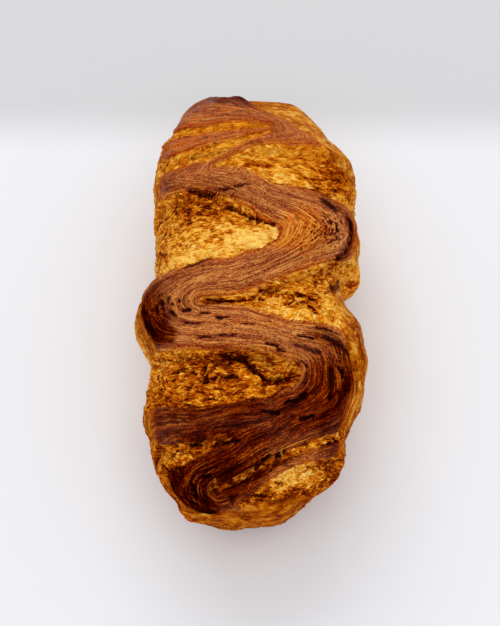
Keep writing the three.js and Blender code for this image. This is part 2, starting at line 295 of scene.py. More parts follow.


# %% [markdown]
# ## Where the crust split
# Steam opens slits along the layers and tears the skin where a turn pulled away from the dough in
# front of it. Bubbles in the cut edge bake into small holes. Each is a short line on the plan
# with a half width and a depth, and its edge is made ragged by noise. The dark inside each is
# painted shade.

# %% Slits, tears and holes
SLITS = (  # points (u, v) along each, half width, depth
    (((-11, 27), (-6, 24), (-1, 21), (6, 18), (10, 16)), 1.1, 3.2),
    (((-16, 34.6), (-10, 34.8), (-7, 36.3), (-1, 37.3)), 0.8, 1.8),
    (((-33, 38.5), (-29, 37.1), (-23, 34.8), (-18, 32.8)), 1.5, 1.8),
    (((-53, 24.7), (-56, 21.4), (-63, 21.7)), 1.0, 2.0),
    (((32.5, 23.4), (33.8, 19), (34, 13.8)), 0.5, 0.8),
    (((47.8, 25.2), (49.6, 17), (48.3, 9.8), (44.7, 4.8)), 0.7, 0.8),
    (((54.6, 34.6), (62, 33), (64, 25.2), (64, 17.2)), 0.7, 0.9),
    (((34.5, 37.6), (40.4, 37.1)), 1.2, 1.5), (((-54, -19), (-53.5, -25), (-50, -31)), 1.0, 1.2),
    (((-22.7, -29.9), (-18.1, -30.1)), 0.8, 1.3), (((-18.3, -32.4), (-11, -32.8)), 0.8, 1.3),
    (((-5.6, -36.3), (0, -36.6)), 0.7, 1.2), (((-31.1, -33.1), (-23.9, -35.1)), 0.5, 0.8),
    (((-25.2, -41.3), (-6.9, -41)), 0.5, 0.7), (((18.8, -41), (24.9, -41.8)), 0.8, 1.3),
    (((6.1, -45.2), (10.9, -46.2)), 0.8, 1.3), (((9.6, -47.7), (14.5, -48.7)), 0.8, 1.3),
    (((-20, -22.9), (-13.3, -24.2), (-6.7, -24.2), (0, -23.7)), 0.9, 1.6),
    (((3.8, -18.7), (9.4, -17.5), (13.4, -16.7)), 1.4, 2.4), (((14.7, -18.7), (18.5, -19)), 1.4, 2.4),
    (((0, -21.7), (5.3, -23.7)), 0.9, 1.6),
    (((17.3, -25.2), (22.1, -20.5), (26.7, -19), (30, -21.7)), 0.8, 1.4),
    (((21.8, -24.2), (24.9, -22.7), (27.7, -25.2)), 0.8, 1.2),
    (((32.3, -17.2), (35.1, -17.5)), 1.0, 1.6),
    (((27.2, -36.6), (31.2, -36.3), (37.9, -36.8)), 0.9, 1.4),
    (((-4.6, -50), (0, -56.9), (5.6, -60.9), (13.2, -60.6)), 1.1, 2.4),
    (((-41.5, -54.2), (-34.4, -53.9), (-27.5, -56.6)), 0.9, 1.5),
    (((-23.7, -54.4), (-22.4, -60.9)), 1.9, 2.4), (((-13, -59.6), (-8.4, -59.9)), 1.8, 2.4),
    (((-19.9, -59.6), (-18.1, -59.9)), 1.3, 2.0), (((-13.3, -49.7), (-4.6, -51.9)), 1.1, 1.6),
    (((-21.4, -68.8), (-14, -67.3), (-8.4, -65.8)), 0.7, 1.1),
    (((21.1, -51.9), (24.6, -54.7)), 0.8, 1.3), (((37.1, -51.2), (39.4, -53.4)), 0.9, 1.5),
    (((40.9, -52.9), (41.4, -55.7)), 1.1, 1.8), (((40.4, -61.4), (40.9, -63.6)), 1.1, 1.8),
    (((16.7, -70.8), (21.3, -69.5), (26.4, -65.6)), 1.0, 1.7), (((5, -74), (12.7, -75)), 0.9, 1.5),
    (((25.1, -77), (31.2, -74.7)), 1.0, 1.7), (((37.3, -66.8), (38.6, -65.6)), 0.9, 1.5),
    (((-33.6, -86.4), (-29, -86.4), (-24.5, -86.9)), 1.1, 2.0),
    (((-19.9, -87.1), (-13, -86.6), (-6.1, -85.7)), 1.0, 1.8),
    (((-51.7, -89.1), (-45.3, -88.9)), 1.2, 2.0), (((-59.5, -91.4), (-55.5, -91.9)), 1.3, 2.0),
    (((-29, -99.3), (-25.5, -98.8)), 1.2, 2.0),
    (((-37.9, -101.3), (-38.2, -105.2), (-39.5, -108)), 1.4, 2.4),
    (((-47.8, -107), (-45.3, -109.5), (-41.2, -111.4)), 1.2, 2.0),
    (((6.8, -94.1), (10.4, -92.8)), 1.6, 2.4), (((14.5, -92.1), (19.8, -90.4)), 1.6, 2.4),
    (((2.3, -96.6), (5.8, -94.8)), 1.0, 1.6), (((28.2, -87.4), (33.3, -86.1)), 0.8, 1.2),
    (((44.7, -84.4), (53.9, -80.9)), 0.8, 1.2), (((-0.8, -108.7), (13.4, -109.2)), 0.9, 1.2),
    (((18.8, -103.3), (26.4, -103.3)), 1.1, 1.2), (((36.1, 20.7), (36.6, 20)), 0.9, 1.5),
    (((41.9, 23.4), (42.3, 22.6)), 0.9, 1.5), (((36.6, 14.8), (37, 14.4)), 0.9, 1.5),
    (((39.4, 18.9), (39.8, 17.4)), 0.9, 1.5), (((38.4, 11.5), (38.8, 10.9)), 1.1, 1.5),
    (((-43.8, -22.5), (-43.9, -23.4)), 1.3, 2.2), (((-40.7, -19.6), (-40.7, -22.9)), 0.9, 2.0),
    (((-37.8, -20.2), (-36.6, -19.2)), 0.8, 1.6), (((-35.9, -22.2), (-35.4, -22.6)), 0.9, 1.6),
    (((-32.2, -21.6), (-31.4, -22.2)), 0.9, 1.6), (((-36.7, -25.7), (-35.1, -28.1)), 1.0, 1.8),
    (((-30.8, -27.1), (-27.8, -27.1)), 1.0, 1.8),
)
RAGGED_EDGE = 0.9  # how far noise moves a slit's edge, mm
RAGGED_SIZE = 2.0
SLIT_WALL = (0.1, 1.25)  # where a slit's wall starts and ends, in half widths
SLIT_SHADE = (0.15, 1.15)


def noise_at(points, size, shift=0):
    scaled = points / np.asarray(size, float) + shift
    return np.array([noise.noise(point) for point in scaled.tolist()])


def from_line(u, v, points):
    nearest = np.full(u.shape, FARTHEST)
    for start, end in zip(points[:-1], points[1:]):
        _, off_u, off_v = from_segment(u, v, start, end)
        nearest = np.minimum(nearest, np.hypot(off_u, off_v))
    return nearest


def fading(gap, half, fade):
    return 1 - smoothstep(gap, half * fade[0], half * fade[1])


def slits_at(u, v, ragged):
    depth = np.zeros(u.shape)
    shade = np.zeros(u.shape)
    for points, half, deep in SLITS:
        gap = from_line(u, v, points) + ragged
        depth = np.maximum(depth, deep * fading(gap, half, SLIT_WALL))
        shade = np.maximum(shade, fading(gap, half, SLIT_SHADE))
    return depth, shade


# %% Bits of pale dough on the cut edge
GOLD_BITS = (  # points (u, v) along each and half width
    (((-22.7, -101.3), (-23.7, -103.8)), 0.7), (((-26.5, -103.8), (-27.8, -107.2)), 0.6),
    (((-10.5, -101.5), (-5.9, -100.2), (0, -98)), 0.8), (((8.4, -59.9), (13.7, -58.6)), 1.7),
    (((2.5, -50.5), (9, -53.7)), 3.2), (((16, -54.5), (19, -55.5)), 1.4),
    (((-32, 57.5), (-22, 58.5), (-14, 61)), 1.4),
)
GOLD_FADE = (0.5, 1.3)
GOLD_RISE = 0.9


def strongest(u, v, lines, fade, ragged=0):
    most = np.zeros(u.shape)
    for points, half in lines:
        most = np.maximum(most, fading(from_line(u, v, points) + ragged, half, fade))
    return most


# %% [markdown]
# ## How hard each part baked, with some painted shade
# The near end browned hardest. Each further patch is a soft oval on the plan, and each fold a soft
# line. They add to the bake or take from it. A few darken a tongue's far side, under the turn
# behind it: painted shade, not bake.

# %% The bake
PATCHES = (  # centre (u, v), reach across and along, change of the bake
    # Patches such as the one at (-12, -51) darken a tongue's far half under the turn behind: painted shade.
    (-50, -27, 9, 11, 0.55), (-40, -12, 14, 7, 0.12), (24, 13, 12, 13, -0.42), (-5, 44, 22, 5, -0.2),
    (-38, 46, 12, 7, -0.15), (37, 30, 6, 4, 0.35), (2, 9, 14, 6, -0.3), (32, -62, 14, 14, 0.15),
    (-30, 40, 22, 7, 0.12), (-44, 48, 8, 9, 0.25), (-30, -33, 18, 8, 0.1), (36, -57, 12, 13, 0.2),
    (-16, -23, 12, 3, 0.35), (6, -34, 26, 5, -0.15), (-16, -36, 26, 5, -0.08), (42, 47, 12, 12, 0.27),
    (22, -112, 16, 4, 0.3), (8, -57, 9, 8, 0.15), (-46, -24, 12, 12, 0.15), (20, -57, 5, 9, -0.2),
    (-28, -76, 22, 6, -0.08), (-46, -106, 12, 10, 0.15), (-28, 28, 22, 8, 0.3), (2, 9, 20, 6, -0.2),
    (-28, 3, 22, 5, -0.18), (-56, 10, 8, 20, 0.15), (8, 60, 14, 6, -0.3), (4, 51.5, 8, 2.5, 0.35),
    (52, 60, 16, 15, 0.3), (22, -27, 12, 4, 0.1), (48, -10, 14, 8, 0.1), (62, -26, 9, 16, -0.15),
    (-12, -51, 26, 4, 0.3), (8, -66, 10, 4, 0.1), (-52, -60, 8, 12, 0.1), (10, -56, 5, 4, -0.2),
    (28, -102, 18, 6, -0.8), (46, -98, 8, 6, -0.4), (-10, 100, 44, 14, 0.2), (-48, -90, 10, 4, -0.65),
    (-30, -103, 15, 8, 0.32), (-12, -98, 16, 6, 0.5), (-22, -74, 26, 4, 0.1), (0, -118, 40, 8, -0.2),
    (64, 8, 6, 22, -0.2), (62, -62, 6, 16, -0.25), (56, -40, 9, 17, 0.65), (34, -54, 8, 12, 0.12),
    (-10, -84, 22, 5, 0.12), (34, -94, 18, 7, -0.3), (24, -118, 18, 6, 0.3), (44, -107, 12, 6, 0.45),
    (36, -84, 12, 4, -0.2), (-47, -22, 9, 9, 0.2), (0, 108, 40, 12, 0.3),
)
FOLDS = (  # lines of darker or paler crust: points (u, v), half width, change of the bake
    # along the lower left tongue's tear: painted shade under the turn behind
    (((-14, -49.5), (-4.6, -51), (1, -57.5), (6, -61), (13.5, -62), (19, -59), (19.5, -54)), 2.2, 0.4),
    (((44, -33), (46, -43), (46, -56), (43, -66), (36, -76)), 2.6, 0.35),
    (((-15, -108), (0, -101.5), (16, -95.5), (30, -92)), 2.2, 0.3),
    (((-39, 84), (-21, 86.3), (-4, 89), (8, 88)), 1.2, -0.35),
    (((-52, 70), (-40, 69), (-28, 68)), 2.0, -0.3), (((18, 50), (24, 45), (32, 44), (46, 50)), 1.6, 0.45),
    (((24, 58.5), (34, 58), (42, 59.5)), 1.5, 0.35), (((29, 50), (39, 52), (51, 57)), 1.5, 0.4),
    (((32, 39.5), (40, 41.5), (50, 45)), 1.5, 0.35), (((-4, 49.8), (4, 49.4), (10, 48.8)), 1.5, 0.3),
    # along the long left tongue's tear: painted shade under the turn behind
    (((-33, 37.5), (-18, 32), (-9, 25), (0, 20.3), (10, 14.8)), 2.0, 0.1),
    (((16, -24.5), (20, -20.5), (25.5, -18.6), (30, -20.5), (33, -26)), 1.1, 0.5),
    (((19.5, -26.5), (22.5, -23.4), (27, -23), (29, -27)), 0.9, 0.4),
    (((-20, -24.5), (0, -24), (10, -20), (24, -19)), 2.0, 0.3),
    (((47.5, 26), (50, 17), (49, 9), (45, 4)), 3.0, 0.45),
    (((26, -39), (38, -42), (46, -50), (46, -60)), 4.0, 0.3),
    (((-57, -12), (-55, -22), (-50, -32), (-42, -36)), 4.5, 0.6),
    (((-48, -95), (-53, -103), (-49, -110), (-36, -114)), 7.0, 0.6),
)
PITTED = (  # where bubbles show on the cut edge: centre (u, v), reach across and along, share
    (39, 17, 8, 14, 1.0), (26, 13, 7, 11, 0.8), (-40, -22, 11, 7, 1.0), (40, -52, 10, 13, 0.8),
    (-34, -103, 13, 9, 0.8), (10, -40, 26, 7, 0.5), (10, -92, 30, 5, 0.7), (-8, 36, 20, 4, 0.5),
)
FOLD_FADE = (0.2, 1.6)
BAKE_FAR = 0.36
BAKE_NEAR = 0.8
NEAR_END = (35, 78)  # where the harder bake starts and is full, before the loaf's middle


def patches_at(u, v, patches):
    total = np.zeros(u.shape)
    for at_u, at_v, reach_u, reach_v, change in patches:
        total = total + change * np.exp(-(((u - at_u) / reach_u) ** 2) - ((v - at_v) / reach_v) ** 2)
    return total


def bake_and_shading_at(u, v):
    bake = BAKE_FAR + (BAKE_NEAR - BAKE_FAR) * smoothstep(-v, *NEAR_END) + patches_at(u, v, PATCHES)
    for points, half, change in FOLDS:
        bake = bake + change * fading(from_line(u, v, points), half, FOLD_FADE)
    return bake


# %% [markdown]
# ## Relief
# The strand stands proud and is ridged along its layers. A tongue dips under the turn behind it and
# comes up flush at its near side. The crumb of a tongue is rough from small flakes. Noise gives
# these, read along the layers on the strand, so that ridges follow the turns, and in plain space on
# the tongues. Shallow swellings and hollows down the sides give the outline its waves.

# %% Relief
STRAND_RISE = 1.6
STRAND_CROWN = 1.4
STRAND_EDGE_WIDTH = 2.6
TONGUE_SINK = 3.6
SINK_ACROSS = (-0.35, 0.95)  # where across a tongue the dip starts and is full
SINK_WIDTH = (2, 9)  # the half widths at which a tongue starts to dip, and dips in full
TONGUE_EDGE_WIDTH = 3
SKIN_EDGE_WIDTH = 3
SKIN_CALM = 0.8  # how much of the crumb's height the tin's skin lacks
SIDE_START = (-2.5, 0.5)  # the layers' edges show down the side, from the strand's edge
SIDE_END = (11, 17)
SIDE_RIDGES = 1.3
CALM_END = (25, 80)  # towards the far end the crust is more even
# A tongue's near side, where it rises flush into the light, is painted brighter: a painted highlight.
NEAR_HIGHLIGHT_ACROSS = (0.5, 1.0)  # the bright near side of a tongue
RIDGES = ((8, 50, 0.55), (3.2, 26, 0.4), (1.3, 12, 0.2))  # layers to a ridge, its run and height, mm
LUMPS = ((13, 0.9), (6, 0.4))  # size and height, mm
LUMP_SEED = 1.5
CRUMB = ((5.2, 0.5), (2.6, 0.4), (1.4, 0.25))
CRUMB_STRETCH = 1.7  # across the loaf
CRUMB_CREASE = 2.6  # how sharply the crumb is creased between its flakes
RAGGED_STRAND = 1.6  # how far noise moves the strand's edge, mm
EDGE_WAVES = (((9, 3.5, 6), 1, 4.4), ((3.5, 1.6, 3), 0.6, 9.1))  # size, share and seed of that noise
RAGGED_SEED = 2.2
BUMPS = (  # where a turn stands out or draws in: centre (u, v), reach across and along, height, mm
    (-25, 115, 16, 7, -1.6), (8, 116, 18, 6, -1.4), (46, 103, 16, 10, 2.4), (-62, 92, 16, 6, -1.8),
    (-64, 78, 16, 5, 1.2), (56, 82, 16, 5, -1.6), (66, 66, 20, 7, 1.0), (76, 51, 20, 6, -2.4),
    (-74, 50, 20, 8, -1.4), (-74, 28, 20, 8, 1.4), (76, 19, 20, 6, -2.4), (-66, 3, 20, 5, -2.6),
    (78, 8, 20, 5, 2.6), (78, -1, 20, 4, -3.4), (66, -24, 20, 7, 3.0), (-77, -39, 22, 6, -1.2),
    (-70, -50, 20, 5, 1.2), (75, -47, 20, 6, -2.4), (78, -62, 20, 7, -1.2), (-72, -66, 20, 6, 1.8),
    (-77, -76, 22, 5, -1.2), (78, -75, 22, 5, -2.2), (78, -92, 20, 5, 1.8), (-78, -105, 22, 5, -0.8),
    (80, -103, 20, 5, -0.6), (-80, -114, 22, 6, 1.8), (-112, -130, 24, 12, 2.2),
)


def ridges_at(layer, points):
    total = 0
    for layers, run, rise in RIDGES:
        spots = np.stack([layer / layers, points[:, 1] / run, points[:, 0] / run], -1)
        total = total + rise * noise_at(spots, 1, layers)
    return total


def crumb_at(points):
    total = 0
    for size, rise in CRUMB:
        found = noise_at(points, (size * CRUMB_STRETCH, size, size), size)
        total = total + rise * (1 - CRUMB_CREASE * np.abs(found))
    return total


def relief(where, points):
    u, v, skin, beyond = where["u"], where["v"], where["skin"], -where["edge"]
    edge_noise = sum(share * noise_at(points, size, seed) for size, share, seed in EDGE_WAVES)
    inside = where["inside"] + RAGGED_STRAND * edge_noise * smoothstep(where["inside"], 0, 1.5)
    on_strand = smoothstep(inside, -STRAND_EDGE_WIDTH / 3, STRAND_EDGE_WIDTH * 2 / 3)
    in_tongue = smoothstep(-where["tongue"], 0, TONGUE_EDGE_WIDTH)
    wide = smoothstep(where["width"], *SINK_WIDTH)
    sunken = smoothstep(where["across"], *SINK_ACROSS) * wide * in_tongue
    ridges = ridges_at(where["layer"], points)
    strand = STRAND_RISE + STRAND_CROWN * np.sin(np.pi * where["share"]) + ridges
    ragged = RAGGED_EDGE * noise_at(points, RAGGED_SIZE, RAGGED_SEED)
    depth, shade = slits_at(u, v, ragged)
    gold = strongest(u, v, GOLD_BITS, GOLD_FADE, ragged)
    lumps = sum(rise * noise_at(points, size, LUMP_SEED) for size, rise in LUMPS) + patches_at(u, v, BUMPS)
    crumb = crumb_at(points)
    side = smoothstep(beyond, *SIDE_START) * (1 - smoothstep(beyond, *SIDE_END))
    side = side * smoothstep(where["tongue"], 0, TONGUE_EDGE_WIDTH) * smoothstep(skin, 0, SKIN_EDGE_WIDTH)
    crumb_rise = (1 - side) * (1 - SKIN_CALM * smoothstep(-skin, 0, SKIN_EDGE_WIDTH))
    height = on_strand * strand - sunken * TONGUE_SINK - depth + lumps + (1 - on_strand) * crumb * crumb_rise
    height = height + side * (1 - on_strand) * ridges * SIDE_RIDGES + gold * GOLD_RISE
    return height, {
        "crumb": crumb / sum(rise for _, rise in CRUMB),
        "slit": shade,
        # how far into a slit's painted shade a place lies
        "sunken": sunken,
        # The dip's share also darkens the crumb there: painted shade under the turn behind.
        "side": side,
        "gold": gold,
        "strand": np.clip((inside + 1) / STRAND_EDGE_WIDTH, 0, 1),
        "calm": smoothstep(v, *CALM_END),
        "smooth": smoothstep(-skin, -1.5, 2.5),
        # The near side's share brightens the crumb: a painted highlight.
        "lip": smoothstep(-where["across"], *NEAR_HIGHLIGHT_ACROSS) * in_tongue * wide,
    }


# %% [markdown]
# ## The crust
# A point of the plan is carried to the body, and pushed out along the body's normal by the relief.
# The relief fades at the poles of the ends and just above the base, so the loaf rests on its flat.

# %% From the plan to the crust
NORMAL_STEP = 1e-3
POLE_FADE = 12
BASE_FADE = (2, 14)
WALL_FADE = (RIM_HEIGHT - 6, RIM_HEIGHT + 3)
LEAST_LENGTH = 1e-12


def unit(vectors):
    return vectors / np.maximum(np.linalg.norm(vectors, axis=-1, keepdims=True), LEAST_LENGTH)


def crust_at(u, v):
    around = (u + CROWN_ARC) / GIRTH % 1
    lengthwise = np.clip(v / PROFILE_LENGTH + 0.5, 0, 1)
    smooth_body = body(around, lengthwise)
    turned = (around + NORMAL_STEP) % 1, (around - NORMAL_STEP) % 1
    rightward = unit(body(turned[0], lengthwise) - body(turned[1], lengthwise))
    shifted = np.minimum(1, lengthwise + NORMAL_STEP), np.maximum(0, lengthwise - NORMAL_STEP)
    onward = unit(body(around, shifted[0]) - body(around, shifted[1]))
    out = unit(np.cross(rightward, onward))
    where = plan(u, v)
    height, marks = relief(where, smooth_body)
    from_pole = np.minimum(lengthwise, 1 - lengthwise) * PROFILE_LENGTH
    fade = smoothstep(from_pole, 0, POLE_FADE) * smoothstep(smooth_body[:, 2], *BASE_FADE)
    place = smooth_body + out * (height * fade)[:, None]
    place[:, 2] = np.maximum(0, place[:, 2] - BASE_SINK)
    marks["wall"] = 1 - smoothstep(place[:, 2], *WALL_FADE)
    return place, out, where, marks


# %% [markdown]
# A sphere with its poles at the loaf's ends has its vertices in even rings. Each vertex is moved
# onto the crust, with the rings crowded over the top, where the layers are finest.

# %% The crust's mesh
SEGMENTS_AROUND = 280
SEGMENTS_ALONG = 356
TOP_CROWDING = 0.55
SHOULDER_CROWDING = 0.1
MIDDLE_CROWDING = 0.22


def crowding(share, centre, strength, waves=1):
    return -strength / (2 * np.pi * waves) * np.sin(2 * np.pi * waves * (share - centre))


def crowd_round(share):
    crown = CROWN_ARC / GIRTH
    shift = crowding(share, crown, TOP_CROWDING) + crowding(share, crown, -SHOULDER_CROWDING, 3)
    return (share + shift) % 1


ball = bmesh.new()
bmesh.ops.create_uvsphere(
    ball, u_segments=SEGMENTS_AROUND, v_segments=SEGMENTS_ALONG, radius=1,
    matrix=Matrix.Rotation(-math.pi / 2, 4, "X"),
)
globe = np.array([vert.co for vert in ball.verts])
around = crowd_round((np.arctan2(globe[:, 2], -globe[:, 0]) / (2 * np.pi)) % 1)
lengthwise = np.arcsin(np.clip(globe[:, 1], -1, 1)) / np.pi + 0.5
lengthwise = lengthwise + crowding(lengthwise, 0.5, MIDDLE_CROWDING)
u = around * GIRTH - CROWN_ARC
u = np.where(u > GIRTH / 2, u - GIRTH, u)
surface, _, where, marks = crust_at(u, (lengthwise - 0.5) * PROFILE_LENGTH)
middle = (surface.min(0) + surface.max(0)) / 2
middle[2] = 0
surface = surface - middle
for vert, place in zip(ball.verts, (surface * MM).tolist()):
    vert.co = place
for face in ball.faces:
    face.smooth = True
litres = ball.calc_volume(signed=True) * 1000
print("the crust's volume, litres:", round(litres, 3), "faces:", len(ball.faces))


def finished(name, shape):
    mesh = bpy.data.meshes.new(name)
    shape.to_mesh(mesh)
    shape.free()
    made = bpy.data.objects.new(name, mesh)
    bpy.context.scene.collection.objects.link(made)
    return made


crust = finished("crust", ball)

# %% [markdown]
# ## What the oven marked, and painted shade and light
# The bake is stored on the mesh as numbers for the material to read: which layer of dough shows,
# how far a place is strand or tongue, how dark it baked, how rough its crumb is, how deep in a
# slit's painted shade it lies, where a tongue's dip is painted darker and its near side brighter,
# and how far down the tin's wall it is.

# %% Marks on the mesh
CHARRED = (  # near-black patches: points (u, v) and half width
    (((-31.1, -4.3), (-26, -4.1), (-20.4, -2.1)), 1.3), (((34.3, 31.6), (39.4, 28.6)), 2.4),
    (((-56, -17), (-54, -25), (-49.9, -32)), 1.8), (((30.2, -40), (37.6, -42), (44, -45.5)), 1.4),
    (((18, -45.7), (28.4, -48.2)), 1.0), (((34.3, -54.4), (36.6, -60.9)), 1.6),
    (((-57.8, -99), (-60.1, -104.2), (-57, -109.5), (-46.6, -114.9), (-32.3, -116.9)), 2.4),
    (((46.5, -10.5), (59.2, -2)), 2.6),
)
CHAR_FADE = (0.2, 1.6)


def all_marks(where, marks):
    u, v = where["u"], where["v"]
    return {
        **marks,
        **{name: where[name] for name in ("layer", "inside", "edge")},
        "bake": bake_and_shading_at(u, v),
        "char": strongest(u, v, CHARRED, CHAR_FADE),
        "pitted": np.clip(patches_at(u, v, PITTED), 0, 1),
    }


def store(target, marks):
    for name, values in marks.items():
        attribute = target.data.attributes.new(name, "FLOAT", "POINT")
        attribute.data.foreach_set("value", np.asarray(values, np.float32))


store(crust, all_marks(where, marks))
print("marks on the crust:", len(crust.data.attributes))

# %% [markdown]
# ## Colour helpers
# Colours are picked as the eye sees them, in sRGB hex, and turned to the linear values that light
# works in. One function adds a node with its settings and its links.

# %% Helpers for materials
def linear(hex_colour):
    parts = [int(hex_colour[i : i + 2], 16) / 255 for i in (1, 3, 5)]
    return [c / 12.92 if c <= 0.04045 else ((c + 0.055) / 1.055) ** 2.4 for c in parts] + [1]


def new_material(name):
    material = bpy.data.materials.new(name)
    material.use_nodes = True
    material.node_tree.nodes.clear()
    return material, material.node_tree


def add(tree, kind, settings=(), inputs=()):
    made = tree.nodes.new("ShaderNode" + kind)
    for name, value in dict(settings).items():
        if name == "stops":
            while len(made.color_ramp.elements) < len(value):
                made.color_ramp.elements.new(0.5)
            for element, (position, colour) in zip(made.color_ramp.elements, value):
                element.position = position
                element.color = linear(colour)
        else:
            setattr(made, name, value)
    for name, value in dict(inputs).items():
        if isinstance(value, bpy.types.NodeSocket):
            tree.links.new(value, made.inputs[name])
        else:
            made.inputs[name].default_value = value
    return made


# %% [markdown]
# ## Baked crust
# The cut edge is read along its layers: broad streaks, fine threads, short slits and bubbles, whose
# dark insides are painted shade. A tongue is read in space: its crumb is pale on the flakes and
# brown between them, partly painted light and shade. The skin that touched the tin is smooth and
# mottled. All darken with the bake. The surface is dry, with the faint gloss that milk and egg
# leave on a crust.

# %% Baked crust
def baked_crust():
    material, tree = new_material("baked_crust")

    def mark(name):
        return add(tree, "Attribute", {"attribute_name": name}).outputs["Fac"]

    def mix(share, one, other):
        return add(tree, "Mix", {"data_type": "RGBA"}, {0: share, 6: one, 7: other}).outputs[2]

    def blend(share, one, other):
        return add(tree, "Mix", {"data_type": "FLOAT"}, {0: share, 2: one, 3: other}).outputs[0]

    def maths(kind, one, other=0.0, third=0.0):
        return add(tree, "Math", {"operation": kind}, {0: one, 1: other, 2: third}).outputs[0]

    def times(one, other):
        return maths("MULTIPLY", one, other)

    def plus(base, *parts):
        for value, share in parts:
            base = maths("MULTIPLY_ADD", value, share, base)
        return base

    def ramp(value, stops):
        return add(tree, "ValToRGB", {"stops": stops}, {"Fac": value}).outputs["Color"]

    def between(value, low, high, start=0.0, end=1.0):
        return add(tree, "MapRange", {"interpolation_type": "SMOOTHSTEP"}, {
            "Value": value, "From Min": low, "From Max": high, "To Min": start, "To Max": end,
        }).outputs[0]

    def calmed(value, level, share):
        calm = plus(1.0, (mark("calm"), -share))
        return maths("MULTIPLY_ADD", maths("SUBTRACT", value, level), calm, level)

    place = add(tree, "TexCoord").outputs["Object"]
    split = add(tree, "SeparateXYZ", {}, {0: place})
    layer = mark("layer")

    def on_layers(per_layer, run, shift=0.0):
        return add(tree, "CombineXYZ", {}, {
            0: maths("MULTIPLY_ADD", layer, per_layer, shift),
            1: times(split.outputs["Y"], 1 / (run * MM)),
            2: times(split.outputs["X"], 1 / (run * MM)),
        }).outputs[0]

    def layer_noise(per_layer, run, detail, shift=0.0):
        return add(tree, "TexNoise", {}, {
            "Vector": on_layers(per_layer, run, shift), "Scale": 1.0, "Detail": detail, "Roughness": 0.6,
        }).outputs["Fac"]

    def space_noise(size, detail, stretch=(1.0, 1.0, 1.0), twist=0.0):
        spot = add(tree, "Mapping", {}, {"Vector": place, "Scale": stretch}).outputs[0]
        return add(tree, "TexNoise", {}, {
            "Vector": spot, "Scale": 1 / (size * MM), "Detail": detail, "Roughness": 0.65,
            "Distortion": twist,
        }).outputs["Fac"]

    def bubbles(per_layer, run, feature):
        made = add(tree, "TexVoronoi", {"feature": feature}, {
            "Vector": on_layers(per_layer, run), "Scale": 1.0,
        })
        return made.outputs["Distance"]

    # Patterns. Runs and sizes are in millimetres. A real layer is half as thick as those here, and
    # would not show at this distance.
    streaks = layer_noise(per_layer=0.33, run=34, detail=4)
    threads = layer_noise(per_layer=1.7, run=8, detail=3, shift=40.0)
    specks = layer_noise(per_layer=2.2, run=2.4, detail=2, shift=150.0)
    slits = layer_noise(per_layer=1.15, run=5, detail=1, shift=90.0)
    shaded_pores = between(bubbles(0.9, 1.3, "F1"), 0.32, 0.14)
    grain = space_noise(size=0.8, detail=3)
    crumbs = space_noise(size=2.4, detail=4, stretch=(0.45, 1.0, 1.0), twist=0.9)
    fibres = space_noise(size=1.1, detail=2, stretch=(0.3, 1.0, 1.0), twist=0.7)
    clumps = space_noise(size=4.5, detail=2, stretch=(0.7, 1.0, 1.0), twist=1.2)
    blotches = space_noise(size=11, detail=3)

    # Where the surface is strand, how hard it baked with a few patches of painted shade, and its larger
    # bubbles.
    on_strand = between(plus(-0.35, (mark("strand"), 1.0), (grain, 0.7)), 0.32, 0.56)
    bake = plus(-0.25, (mark("bake"), 1.0), (blotches, 0.5))
    pitted = mark("pitted")
    hole_size = plus(-0.42, (clumps, 0.6), (pitted, 0.42))
    from_hole = maths("SUBTRACT", bubbles(0.5, 2.4, "F1"), hole_size)
    shaded_hole = times(between(from_hole, 0.12, 0.0), pitted)
    web = times(between(bubbles(0.5, 2.4, "DISTANCE_TO_EDGE"), 0.13, 0.02), pitted)

    # The strand: red-brown to black-brown with the bake, and golden at its edges.
    speckle = plus(-0.65, (grain, 0.7), (specks, 0.6))
    # Pores darken the tone: painted shade in small bubbles.
    tone = plus(
        0.165, (streaks, 0.7), (maths("SUBTRACT", threads, 0.5), between(bake, 0.3, 0.8, 0.42, 0.75)),
        (speckle, between(bake, 0.4, 0.9, 1.0, 0.6)), (mark("fleck"), 1.0), (shaded_pores, -0.17),
        (between(bake, 0.9, 1.5), -0.14),
    )
    # Holes and slits are darkened here as painted shade; charring is the crust's own colour.
    tone = plus(
        calmed(tone, 0.5, 0.45), (shaded_hole, -0.26), (web, 0.2), (mark("char"), -0.16), (mark("slit"), -0.4),
    )
    pale_strand = ramp(tone, [(0.28, "#601200"), (0.44, "#a44612"), (0.58, "#ce7230"), (0.78, "#f4aa50")])
    dark_strand = ramp(tone, [(0.3, "#1c0100"), (0.47, "#4a0a00"), (0.6, "#802600"), (0.8, "#bc5e0c")])
    gold_strand = ramp(tone, [(0.3, "#761000"), (0.45, "#b44204"), (0.59, "#da7010"), (0.76, "#f6aa3e")])
    strand = mix(between(bake, 0.3, 0.85), pale_strand, dark_strand)
    from_tongue = plus(-4.5, (mark("inside"), 1.0), (threads, 9.0))
    from_wall = plus(-7.0, (mark("edge"), 1.0), (threads, 14.0))
    gilt = times(between(from_tongue, 4.0, 0.0), between(bake, 0.85, 0.4))
    gilt = maths("MAXIMUM", gilt, between(bake, 0.3, 0.05))
    gilt = maths("MAXIMUM", gilt, times(between(from_wall, 6.0, 2.0), between(bake, 1.3, 0.6)))
    strand = mix(gilt, strand, gold_strand)
    # Short slits between the layers: their dark is painted shade, and the bump sinks them.
    slit = times(between(slits, 0.68, 0.73), on_strand)
    strand = mix(times(slit, 0.8), strand, linear("#3a0d02"))

